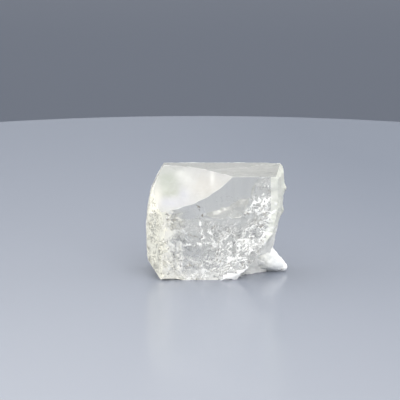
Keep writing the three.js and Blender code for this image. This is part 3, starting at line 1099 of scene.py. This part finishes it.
def stump_mesh():
    """A closed lumpy cone from the root to the round tip."""
    across = STUMP_AXIS.orthogonal().normalized()
    around = STUMP_AXIS.normalized().cross(across)
    made = bmesh.new()
    rings = []
    for step in range(STUMP_RINGS + 1):
        centre, radius = stump_ring(step / STUMP_RINGS)
        if step in (0, STUMP_RINGS):
            rings.append([made.verts.new(centre)])
            continue
        ring = []
        for side in range(STUMP_SIDES):
            angle = 2 * math.pi * side / STUMP_SIDES
            way = across * math.cos(angle) + around * math.sin(angle)
            place = centre + way * radius
            lump = noise.fractal(place / STUMP_LUMP_WIDTH, 1.0, 2.0, 3) * STUMP_LUMP
            ring.append(made.verts.new(place + way * (STUMP_SKIN + lump)))
        rings.append(ring)
    for low, high in zip(rings, rings[1:]):
        for side in range(STUMP_SIDES):
            after = (side + 1) % STUMP_SIDES
            if len(low) == 1:
                corners = (low[0], high[after], high[side])
            elif len(high) == 1:
                corners = (low[side], low[after], high[0])
            else:
                corners = (low[side], low[after], high[after], high[side])
            made.faces.new(corners)
    bmesh.ops.recalc_face_normals(made, faces=made.faces)
    mesh = bpy.data.meshes.new("white_stump")
    made.to_mesh(mesh)
    made.free()
    mesh.polygons.foreach_set("use_smooth", [True] * len(mesh.polygons))
    return mesh


porcelain, tree, shader, place = new_material("white_topaz_stump", 0.45)
outer = fade(tree, part(tree, place, "X"), *WHITER)
white = mixed(tree, outer, (0.78, 0.775, 0.72, 1), (0.82, 0.835, 0.84, 1))
tone = mottle(tree, place, {"Patch width": 0.9 * MM, "Finer layers": 4.0, "From": 0.45, "To": 0.7,
                            "Most": 0.4, "First": white, "Second": (0.66, 0.67, 0.66, 1)})
paint(tree, shader, tone["Color"], grain(tree, place, 0.25 * MM, 0.03 * MM))
mesh = stump_mesh()
mesh.materials.append(porcelain)
add_piece("white_stump", mesh)

# %% [markdown]
# ## Where the long cracks run
#
# Some cracks are long enough to know one by one: bright ones on the right, and a few that are open
# to the outside and let a little iron in, so they are dark. Each is a straight line between two
# places on the front. Reading the distance to them at a wandering place makes them crooked.

# %% Cracks
BRIGHT_CRACKS = [  # from and to, as shares of the crystal's length and height
    ((0.281, 0.345), (0.437, 0.352)),
    ((0.381, 0.545), (0.400, 0.400)),
    ((0.450, 0.475), (0.478, 0.350)),
    ((0.880, 0.800), (0.775, 0.680)),
    ((0.775, 0.680), (0.748, 0.790)),
    ((0.627, 0.415), (0.838, 0.317)),
    ((0.640, 0.330), (0.760, 0.400)),
    ((0.485, 0.218), (0.605, 0.182)),
    ((0.817, 0.571), (0.909, 0.494)),
    ((0.610, 0.180), (0.740, 0.280)),
    ((0.330, 0.060), (0.480, 0.110)),
    ((0.634, 0.620), (0.704, 0.860)),
    ((0.683, 0.639), (0.817, 0.825)),
    ((0.704, 0.473), (0.845, 0.600)),
    ((0.746, 0.366), (0.859, 0.473)),
    ((0.605, 0.655), (0.789, 0.669)),
]
DARK_CRACKS = [
    ((0.060, 0.640), (0.098, 0.655)),
    ((0.070, 0.600), (0.150, 0.585)),
    ((0.098, 0.659), (0.168, 0.630)),
    ((0.147, 0.600), (0.225, 0.581)),
    ((0.302, 0.757), (0.415, 0.796)),
    ((0.415, 0.790), (0.430, 0.669)),
    ((0.351, 0.757), (0.401, 0.620)),
    ((0.464, 0.695), (0.507, 0.685)),
    ((0.281, 0.444), (0.380, 0.415)),
    ((0.154, 0.298), (0.175, 0.337)),
    ((0.090, 0.327), (0.105, 0.268)),
    ((0.676, 0.737), (0.711, 0.639)),
    ((0.240, 0.130), (0.320, 0.150)),
]


def crack_distance(tree, place, cracks):
    """Distance, seen from the front, to the nearest of some cracks."""
    lines = []
    for ends in cracks:
        start, end = [Vector((cad_low.x + along * size.x, 0, up * size.z)) for along, up in ends]
        lines.append(shape(tree, "CurvePrimitiveLine", {"Start": start, "End": end}))
    lines = shape(tree, "CurveToMesh", {"Curve": joined(tree, lines)})
    flat = vectors(tree, "MULTIPLY", place, FROM_FRONT)
    near = put(tree, "GeometryNodeProximity", {"Geometry": lines, "Sample Position": flat},
               target_element="EDGES")
    return near.outputs["Distance"]


print("cracks:", len(BRIGHT_CRACKS), "bright,", len(DARK_CRACKS), "dark")

# %% [markdown]
# ## White lace
#
# Where topaz breaks unevenly, the borders of the facets are crushed to white threads, and seen
# from the front they are lace: a net drawn out the way the break ran. The net is cut from the
# broken surface itself, so it follows every facet. The small faces near the net's lines are kept,
# divided once more, cut again to the lines, lifted a hair and closed into thin ridges. Painting
# the lines on the clear skin would only tint it, because a see-through skin can't turn white.

# %% Lace tree
SPARE = (0.08, 0.04)  # how far round the threads faces are kept before each division
SAME_THREAD = 1e-7  # corners of a ridge this close are one
EVERYWHERE = {"From X": -1.0, "To X": 1.0}
CRACKS_FADE = (-3.5 * MM, -2.5 * MM, 1.0, 0.0)  # cracks fade out between these Y, off the front


def from_thread(tree, place, width):
    """How far a place is from the nearest thread: where wandering noise crosses its middle value."""
    strayed = wandering(tree, place, 0.9 * MM, 0.5 * MM)
    level = cloud(tree, run_outwards(tree, strayed), width, 1.0)
    return sums(tree, "ABSOLUTE", sums(tree, "SUBTRACT", level, 0.5))


def lace_tree(name, cracks):
    """Cuts a net of thin ridges out of a broken surface, with some cracks among them."""
    inputs = {
        **GEOMETRY, **EVERYWHERE, "Net": 1.0, "Wide gap": 1.1 * MM, "Fine gap": 0.5 * MM,
        "Thread": 0.034, "Patch width": 1.5 * MM, "Crack": 0.0, "Crack width": 0.45 * MM,
        "Lift": 0.01 * MM, "Thickness": 0.025 * MM, "Skin": "Material",
    }
    tree, given, result = open_group(name, "GeometryNodeTree", inputs, GEOMETRY)
    place, outward = where_and_out(tree)
    patch = patches(tree, place, given["Patch width"], 0.35, 0.6)
    strayed = wandering(tree, place, 1.1 * MM, 2.2 * MM, 5.0)
    crack = fade(tree, crack_distance(tree, strayed, cracks), 0.0, given["Crack width"], 1.0, 0.0)
    on_break = sums(tree, "GREATER_THAN", kept(tree, "broken"), 0.01)
    uneven = patches(tree, place, 0.7 * MM, 0.38, 0.6, 0.3, 1.0)
    in_front = fade(tree, part(tree, place, "Y"), *CRACKS_FADE)
    crack = times(tree, crack, on_break, uneven, in_front)
    reach = times(tree, kept(tree, "lace"), patch, given["Net"])
    reach = sums(tree, "ADD", reach, times(tree, crack, given["Crack"]))
    reach = times(tree, reach, given["Thread"])
    wide, fine = [sums(tree, "SUBTRACT", from_thread(tree, place, given[gap]), reach)
                  for gap in ("Wide gap", "Fine gap")]
    beyond = sums(tree, "MINIMUM", wide, fine)
    along = part(tree, place, "X")
    inside = times(tree, sums(tree, "GREATER_THAN", along, given["From X"]),
                   sums(tree, "LESS_THAN", along, given["To X"]))
    beyond = sums(tree, "ADD", beyond, sums(tree, "SUBTRACT", 1.0, inside))

    def keep(geometry, spare):
        """The faces within a spare distance of the threads."""
        other = put(tree, "FunctionNodeCompare", {"A": beyond, "B": spare}, operation="GREATER_THAN")
        return shape(tree, "DeleteGeometry", {"Geometry": geometry, "Selection": other.outputs[0]},
                     domain="FACE")

    drawn = given["Geometry"]
    for spare in SPARE:
        drawn = shape(tree, "SubdivideMesh", {"Mesh": keep(drawn, spare), "Level": 1})
    lift = vectors(tree, "SCALE", outward, given["Lift"])
    drawn = shape(tree, "SetPosition", {"Geometry": keep(drawn, 0.0), "Offset": lift})
    thick = {"Mesh": drawn, "Offset Scale": given["Thickness"], "Individual": False}
    both = joined(tree, [shape(tree, "ExtrudeMesh", thick), shape(tree, "FlipFaces", {"Mesh": drawn})])
    closed = shape(tree, "MergeByDistance", {"Geometry": both, "Distance": SAME_THREAD})
    feed(tree, result[0], dressed(tree, closed, given["Skin"]))
    return tree


tree_of_lace = lace_tree("White lace", BRIGHT_CRACKS)
print("lace tree:", len(tree_of_lace.nodes), "nodes")

# %% [markdown]
# ## Cut the lace
#
# Crushed topaz is a dull white powder, so its skin lets nothing through. The net is cut in three
# sections along the crystal, which keeps each piece light, and the bright cracks are a fourth piece
# from the same tree with its net turned off.

# %% Lace and bright cracks
bruise = plain_skin(
    "white_lace", 0.5, 0.0,
    {"Patch width": 0.7 * MM, "Finer layers": 3.0,
     "First": (0.93, 0.93, 0.91, 1), "Second": (0.86, 0.86, 0.84, 1)})
LACE_SECTIONS = [-15 * MM, 3.0 * MM, 7.0 * MM, 15 * MM]  # X where one section ends and the next begins
lace_values = {"Wide gap": 0.8 * MM, "Fine gap": 0.34 * MM, "Patch width": 1.2 * MM, "Skin": bruise}
for number, (start, end) in enumerate(zip(LACE_SECTIONS, LACE_SECTIONS[1:])):
    section = {**lace_values, "From X": start, "To X": end}
    add_piece(f"white_lace_{number}", grow(tree_of_lace, section, body.data.copy()))
crack_values = {**lace_values, "Net": 0.0, "Fine gap": 0.22 * MM, "Crack": 2.6, "Lift": 0.02 * MM}
add_piece("white_cracks", grow(tree_of_lace, crack_values, body.data.copy()))

# %% [markdown]
# ## Stained cracks
#
# A few cracks open to the outside have let in a little iron, and show as thin dark broken lines.
# A tree of the same kind cuts them, with its net turned off and the dark list.

# %% Dark cracks
stain = plain_skin(
    "iron_stain", 0.6, 0.0,
    {"Patch width": 0.8 * MM, "From": 0.35, "To": 0.65,
     "First": (0.24, 0.24, 0.24, 1), "Second": (0.33, 0.30, 0.25, 1)})
stain_values = {"Net": 0.0, "Crack": 6.0, "Crack width": 0.14 * MM,
                "Lift": 0.008 * MM, "Thickness": 0.02 * MM, "Skin": stain}
tree_of_stains = lace_tree("Stained cracks", DARK_CRACKS)
add_piece("stained_cracks", grow(tree_of_stains, stain_values, body.data.copy()))

# %% [markdown]
# ## Veils
#
# A crack that healed while the crystal grew leaves a veil: a bent sheet of tiny flat bubbles, sealed
# in the stone and silvery where they throw the light back. The sheets are small bent grids. Points
# strewn on them carry flat bubbles that lie in the sheet, and the grids themselves are thrown
# away. The bubbles' skin bends light as the outside of the stone does.

# %% Seal the veils in
VEILS = [  # the middle in millimetres, the turn in degrees, and the size each way in millimetres
    ((1.5, 1.0, 13.6), (70, 10, 20), (5.0, 2.4)),
    ((-4.5, 2.0, 10.0), (75, -15, 0), (4.0, 3.0)),
    ((6.0, 3.0, 9.5), (60, 35, 10), (4.5, 2.5)),
]


def veil_tree():
    """Flat bubbles strewn over bent sheets inside the stone."""
    inputs = {"Bubbles to a square metre": 9e6, "Bubble width": 0.2 * MM, "Flatness": 0.15,
              "Bend": 1.5 * MM, "Seed": 5, "Skin": "Material"}
    tree, given, result = open_group("Veils", "GeometryNodeTree", inputs, GEOMETRY)
    sheets = []
    for middle, turn, (long, wide) in VEILS:
        grid = shape(tree, "MeshGrid",
                     {"Size X": long * MM, "Size Y": wide * MM, "Vertices X": 24, "Vertices Y": 16})
        sheets.append(shape(tree, "Transform",
                            {"Geometry": grid, "Translation": Vector(middle) * MM,
                             "Rotation": [math.radians(angle) for angle in turn]}))
    place = where_and_out(tree)[0]
    bent = wandering(tree, place, 3 * MM, given["Bend"])
    sheets = shape(tree, "SetPosition", {"Geometry": joined(tree, sheets), "Position": bent})
    crowd = patches(tree, place, 1.1 * MM, 0.45, 0.6)
    strewn = put(tree, "GeometryNodeDistributePointsOnFaces",
                 {"Mesh": sheets, "Seed": given["Seed"],
                  "Density": times(tree, crowd, given["Bubbles to a square metre"])})
    bubble = shape(tree, "MeshIcoSphere", {"Radius": 0.5, "Subdivisions": 2})
    width = times(tree, chance(tree, given["Seed"], 0.3, 1.3), given["Bubble width"])
    thickness = times(tree, width, given["Flatness"])
    scale = put(tree, "ShaderNodeCombineXYZ", {"X": width, "Y": width, "Z": thickness})
    copies = shape(tree, "InstanceOnPoints",
                   {"Points": strewn.outputs["Points"], "Instance": bubble,
                    "Rotation": strewn.outputs["Rotation"], "Scale": scale.outputs[0]})
    feed(tree, result[0], dressed(tree, copies, given["Skin"]))
    return tree


silvery = plain_skin(
    "veil_bubbles", 0.05, 0.9,
    {"Patch width": 0.5 * MM, "First": (1.0, 1.0, 0.99, 1), "Second": (0.93, 0.93, 0.92, 1)})
add_piece("veils", grow(veil_tree(), {"Skin": silvery}))

# %% [markdown]
# ## Bruised edges with a painted highlight
#
# Crisp edges of topaz are never quite sharp: they carry a fine broken line of white bruises, which
# draws the crystal's outline. The same white line is also a painted highlight, where a clear
# crystal's edges catch the light. The edges were noted when the faces were sorted. Here they
# become thin threads whose thickness comes and goes.

# %% Wear the edges, and paint their highlight
def edge_tree():
    """Thin uneven threads along a mesh of edges."""
    inputs = {**GEOMETRY, "Step": 0.15 * MM, "Thickest": 0.07 * MM, "Patch width": 1.2 * MM,
              "Skin": "Material"}
    tree, given, result = open_group("Worn and highlit edges", "GeometryNodeTree", inputs, GEOMETRY)
    lines = shape(tree, "MeshToCurve", {"Mesh": given["Geometry"]})
    lines = shape(tree, "ResampleCurve", {"Curve": lines, "Length": given["Step"]}, mode="LENGTH")
    patch = patches(tree, where_and_out(tree)[0], given["Patch width"], 0.4, 0.65, 0.05, 1.0)
    section = shape(tree, "CurvePrimitiveCircle", {"Radius": 0.5, "Resolution": 5})
    made = shape(tree, "CurveToMesh",
                 {"Curve": lines, "Profile Curve": section,
                  "Scale": times(tree, patch, given["Thickest"]), "Fill Caps": True})
    feed(tree, result[0], dressed(tree, made, given["Skin"]))
    return tree


# the threads are wear and, in their brightness, a painted edge highlight
add_piece("worn_and_highlit_edges", grow(edge_tree(), {"Skin": bruise}, edge_lines))

# %% [markdown]
# ## Splinters
#
# The hardest hit places hold loose splinters too: tiny spindles, strewn over a surface by the
# thousand, each laid along the break's direction. A cloud decides where they crowd, and a few
# facets are enough for each one. The same tree strews round pits and specks, as short spindles
# with more disorder.

# %% Splinter tree
def splinter_tree():
    """Strews splinters over one kind of face, laid along the break."""
    inputs = {
        **GEOMETRY, "Kind": HACKLY, "Most to a square metre": 3e7, "Patch width": 2.4 * MM,
        "Patch edge": 0.5, "Length": 0.7 * MM, "Width": 0.07 * MM, "Disorder": 0.5, "Follow lace": 1.0,
        "Depth": 0.03 * MM, "Facing": (0, -1, 0), "Seed": 1, "Skin": "Material",
    }
    tree, given, result = open_group("Splinters", "GeometryNodeTree", inputs, GEOMETRY)
    place, outward = where_and_out(tree)
    other = compared(tree, "NOT_EQUAL", kept(tree, "skin", "INT"), given["Kind"])
    ground = shape(tree, "DeleteGeometry", {"Geometry": given["Geometry"], "Selection": other}, domain="FACE")

    patch = sums(tree, "ADD", times(tree, cloud(tree, place, given["Patch width"]), 0.6),
                 times(tree, cloud(tree, run_outwards(tree, place), 1.1 * MM), 0.4))
    edge = given["Patch edge"]
    crowd = fade(tree, patch, edge, sums(tree, "ADD", edge, 0.1))
    faces = fade(tree, vectors(tree, "DOT_PRODUCT", outward, given["Facing"]), 0.3, 0.7)
    sound = sums(tree, "SUBTRACT", 1.0, kept(tree, "lace"))
    followed = sums(tree, "SUBTRACT", 1.0, times(tree, sound, given["Follow lace"]))
    density = times(tree, crowd, followed, faces, given["Most to a square metre"])
    strewn = put(tree, "GeometryNodeDistributePointsOnFaces",
                 {"Mesh": ground, "Density": density, "Seed": given["Seed"]})

    along = vectors(tree, "MULTIPLY", vectors(tree, "SUBTRACT", place, tuple(BREAK_START)), FROM_FRONT)
    along = vectors(tree, "NORMALIZE", along)
    stray = put(tree, "FunctionNodeRandomValue", {"Seed": given["Seed"]}, data_type="FLOAT_VECTOR")
    stray.inputs["Min"].default_value = (-1, -1, -1)
    along = vectors(tree, "ADD", along, vectors(tree, "SCALE", stray.outputs[0], given["Disorder"]))
    out = strewn.outputs["Normal"]
    proud = vectors(tree, "DOT_PRODUCT", along, out)
    along = vectors(tree, "SUBTRACT", along, vectors(tree, "SCALE", out, proud))
    turned = put(tree, "FunctionNodeAlignRotationToVector", {"Vector": along}, axis="Z")

    long = sums(tree, "POWER", chance(tree, 3), 2.0)
    length = times(tree, sums(tree, "ADD", times(tree, long, 1.4), 0.3), given["Length"])
    width = times(tree, chance(tree, 4, 0.6, 1.5), given["Width"])
    scale = put(tree, "ShaderNodeCombineXYZ", {"X": width, "Y": width, "Z": length})
    spindle = shape(tree, "MeshIcoSphere", {"Radius": 0.5, "Subdivisions": 1})
    sunk = times(tree, chance(tree, 5), times(tree, given["Depth"], -1.0))
    settled = shape(tree, "SetPosition",
                    {"Geometry": strewn.outputs["Points"], "Offset": vectors(tree, "SCALE", out, sunk)})
    copies = shape(tree, "InstanceOnPoints",
                   {"Points": settled, "Instance": spindle,
                    "Rotation": turned.outputs[0], "Scale": scale.outputs[0]})
    feed(tree, result[0], dressed(tree, copies, given["Skin"]))
    return tree


tree_of_splinters = splinter_tree()
print("splinter tree:", len(tree_of_splinters.nodes), "nodes")

# %% [markdown]
# ## Bruises, pits and specks
#
# White bruises lie on the hackly front where it is crushed. Small dark pits sit there too, closer
# together and with no direction. The cream left end has stained specks, on the sides that look to
# the front and the left. All three follow the same tree, so a table of values is enough.

# %% Strew them
STREWN = {  # the slot, and the values that differ from the tree's own
    "bruises": ("white_topaz", {"Skin": bruise}),
    "dark_pits": ("iron_stain", {
        "Most to a square metre": 4e7, "Patch width": 1.2 * MM, "Patch edge": 0.52, "Length": 0.35 * MM,
        "Width": 0.09 * MM, "Disorder": 1.0, "Depth": 0.01 * MM, "Seed": 11, "Skin": stain}),
    "stain_specks": ("iron_stain", {
        "Kind": CREAMY, "Most to a square metre": 0.8e7, "Patch width": 2.0 * MM, "Length": 0.15 * MM,
        "Width": 0.09 * MM, "Disorder": 2.0, "Follow lace": 0.0, "Facing": (-0.5, -0.85, 0), "Seed": 7,
        "Skin": stain}),
}
for name, (slot, values) in STREWN.items():
    add_piece(name, grow(tree_of_splinters, values, body.data.copy()))

# %% [markdown]
# ## Table and backdrop
#
# The stone stands on a round pale table in a bright plain room, whose even light makes the inside
# glow. The table's colour is painted darker away from the camera and to the right: painted shade
# and a painted shadow. Behind its edge and below it lie a darker wall and floor, which are the
# backdrop from here and what the clear parts show.

# %% Table and backdrop
ROOM_LIGHT = (0.93, 0.925, 0.905, 1)
TABLE_RADIUS = 152 * MM
TABLE_THICK = 10 * MM
TABLE_MIDDLE = Vector((-3, 17.5)) * MM
TABLE_GAP = 0.02 * MM  # the base never shares its plane with the table top
FLOOR_SIZE = 8
FLOOR_DROP = 250 * MM
WALL_AWAY = 1.0
WALL_SIZE = (4, 0.02, 0.6)
# painted shade: the table's colour is darker away from the camera
PAINTED_SHADE_AWAY = (-0.12, 0.15, 0.0, 0.75)  # between these Y, by these shares
# painted shadow: and darker to the right
PAINTED_SHADOW_RIGHT = (-0.03, 0.06, 0.0, 0.4)  # and between these X
WALL_PALER = (-0.1, 0.1)  # the wall grows paler between these heights

scene = bpy.context.scene
scene.view_settings.view_transform = "Standard"
scene.world = bpy.data.worlds.new("room")
scene.world.use_nodes = True
scene.world.node_tree.nodes["Background"].inputs["Color"].default_value = ROOM_LIGHT


def add_stage(name, finish):
    """Names and dresses the shape just added, as part of the stage."""
    made = bpy.context.object
    made.name = name
    made.data.materials.append(finish)


# the table's colour carries painted shade away from the camera and a painted shadow on the right
finish, tree, shader, place = new_material("table", 0.2)
far = fade(tree, part(tree, place, "Y"), *PAINTED_SHADE_AWAY)
right = fade(tree, part(tree, place, "X"), *PAINTED_SHADOW_RIGHT)
shade = sums(tree, "ADD", far, right, clamp=True)
paint(tree, shader, mixed(tree, shade, (0.275, 0.296, 0.345, 1), (0.162, 0.184, 0.234, 1)))
shader.inputs["Specular IOR Level"].default_value = 0.4
bpy.ops.mesh.primitive_cylinder_add(vertices=256, radius=TABLE_RADIUS, depth=TABLE_THICK)
bpy.context.object.location = (*TABLE_MIDDLE, -TABLE_THICK / 2 - TABLE_GAP)
add_stage("table", finish)

finish = plain_skin(
    "studio_floor", 0.7, 0.0,
    {"Patch width": 0.3, "First": (0.107, 0.122, 0.157, 1), "Second": (0.103, 0.118, 0.152, 1)})
bpy.ops.mesh.primitive_plane_add(size=FLOOR_SIZE, location=(0, 0, -FLOOR_DROP))
add_stage("studio_floor", finish)

finish, tree, shader, place = new_material("studio_wall", 0.8)
shade = fade(tree, part(tree, place, "Z"), *WALL_PALER)
paint(tree, shader, mixed(tree, shade, (0.17, 0.19, 0.235, 1), (0.34, 0.36, 0.39, 1)))
bpy.ops.mesh.primitive_cube_add(size=1, location=(0, WALL_AWAY, 0), scale=WALL_SIZE)
add_stage("studio_wall", finish)
print("stage:", "table", "studio_floor", "studio_wall")

# %% [markdown]
# ## Lamps
#
# Five large soft lamps add shape. The one over the top brightens the cleavage, the two at the sides
# light the ends, the high one in front makes the crushed stone white, and the one behind shines
# through. A large lamp far off leaves no hard shadow.

# %% Lamps
SOFTBOX_DISTANCE = 0.8
SOFTBOXES = {  # the way to it from the stone, its side in metres, and its brightness
    "top": ((0, 0.1, 1), 0.8, 1.0),
    "left": ((-0.8, -0.2, 0.45), 0.8, 1.2),
    "right": ((0.9, 0.1, 0.5), 0.7, 0.65),
    "front": ((0.25, -0.75, 0.65), 0.8, 2.5),
    "back": ((-0.5, 0.6, 0.9), 0.8, 0.9),
}
for name, (direction, side, brightness) in SOFTBOXES.items():
    lamp = bpy.data.lights.new(name, "AREA")
    lamp.size = side
    lamp.energy = math.pi * side**2 * brightness
    made = bpy.data.objects.new(name, lamp)
    scene.collection.objects.link(made)
    way = Vector(direction).normalized()
    made.location = way * SOFTBOX_DISTANCE
    made.rotation_euler = (-way).to_track_quat("-Z", "Y").to_euler()
    made.visible_camera = False
print("lamps:", *SOFTBOXES)
